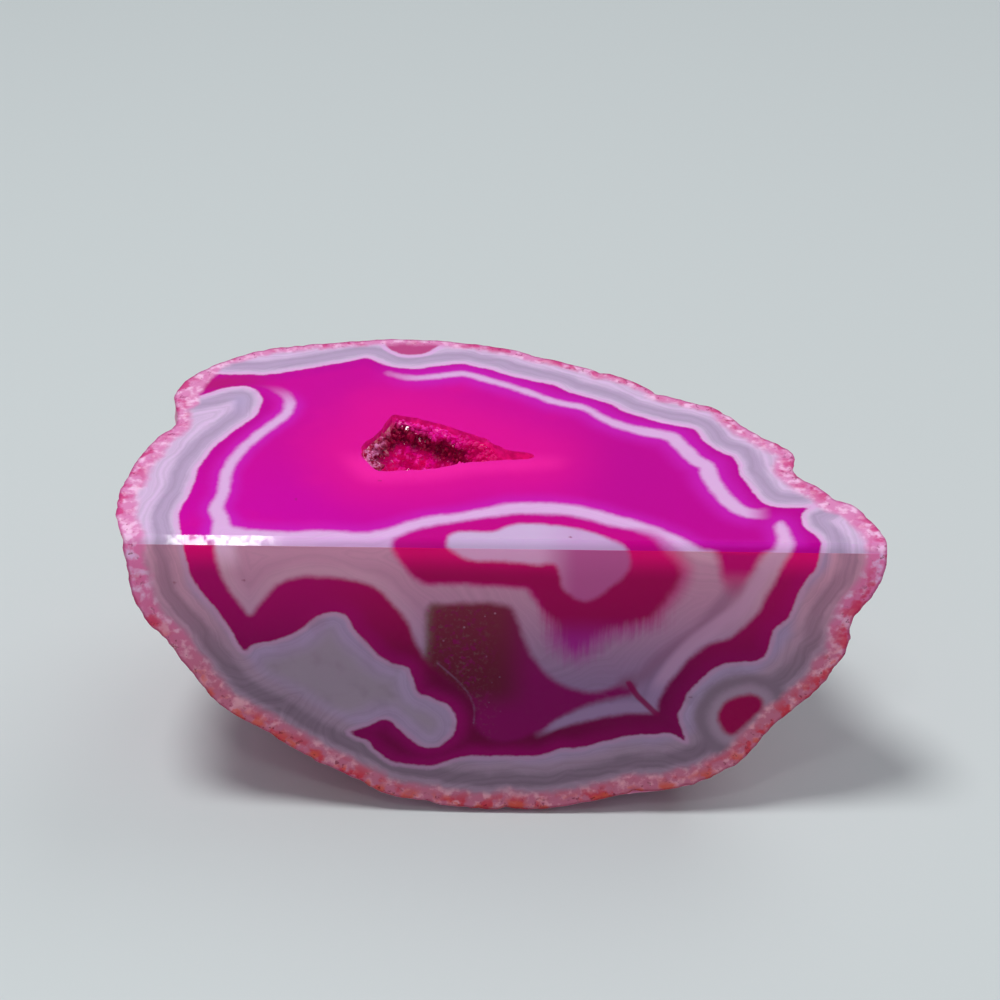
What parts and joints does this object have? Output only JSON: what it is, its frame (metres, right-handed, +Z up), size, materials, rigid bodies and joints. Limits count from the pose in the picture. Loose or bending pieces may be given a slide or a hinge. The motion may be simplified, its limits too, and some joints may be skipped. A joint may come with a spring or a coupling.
{
  "type": "dyed agate specimen",
  "caption": "Chunk of pink-dyed banded agate sawn to two polished flats that meet in a ridge, with natural rind behind and a small crystal-lined pocket in the top.",
  "frame": {"origin": "middle of the object's box, on the surface it rests on", "axes": "+X along the ridge to the right, +Y from the polished front towards the back, +Z up"},
  "size_m": [0.0822, 0.045, 0.036],
  "materials": {
    "agate": "polished",
    "crystal": "polished"
  },
  "bodies": {
    "root": {"agate": "agate", "crystal_crust": "crystal"}
  },
  "joints": []
}
